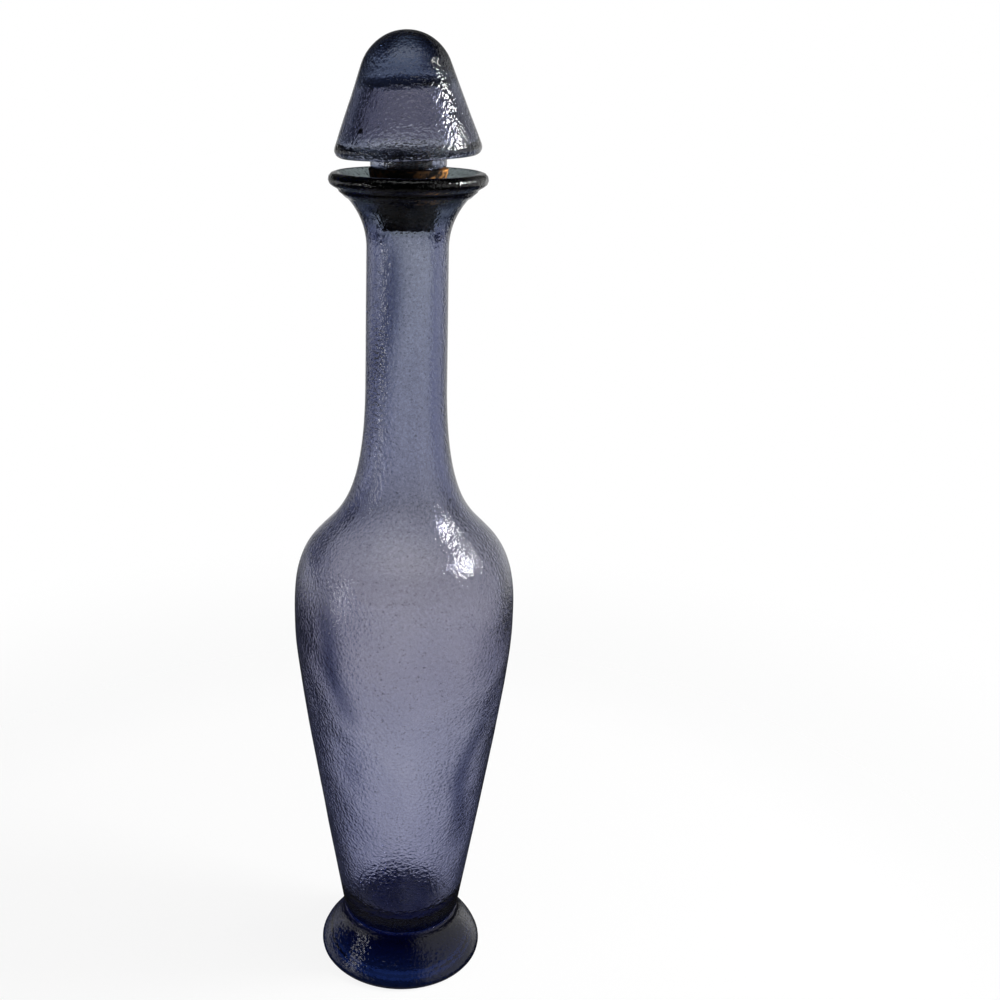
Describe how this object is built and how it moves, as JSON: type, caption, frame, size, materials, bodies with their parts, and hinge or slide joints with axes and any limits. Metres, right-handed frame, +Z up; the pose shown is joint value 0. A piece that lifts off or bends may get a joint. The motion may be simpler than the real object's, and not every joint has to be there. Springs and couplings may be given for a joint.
{
  "type": "genie bottle",
  "caption": "Tall tinted glass decanter with a long neck, flared lip and round foot, closed by a domed hollow glass stopper on a tapered cork.",
  "frame": {"origin": "centre of the standing ring, on the table", "axes": "+Z up along the bottle's axis, +Y away from the viewer of the picture"},
  "size_m": [0.0855, 0.0854, 0.37],
  "materials": {
    "violet_glass": "pebbled, slightly smoky violet-grey glass, polished by fire",
    "foot_glass": "thick glass of the same melt, which reads as dark navy",
    "stopper_glass": "pebbled violet-grey glass with a ground rim on the collar",
    "cork": "raw natural cork with dark pores"
  },
  "bodies": {
    "bottle": {"bottle_body": "violet_glass", "foot": "foot_glass"},
    "cork": {"cork": "cork"},
    "stopper_head": {"stopper_head": "stopper_glass"}
  },
  "joints": [
    {"name": "stopper_lift", "type": "slide", "parent": "bottle", "child": "cork", "axis": [0, 0, 1], "range_m": [0, 0.06]},
    {"name": "stopper_twist", "type": "hinge", "parent": "cork", "child": "stopper_head", "pos_m": [0, 0, 0.335], "axis": [0, 0, 1], "continuous": true}
  ]
}
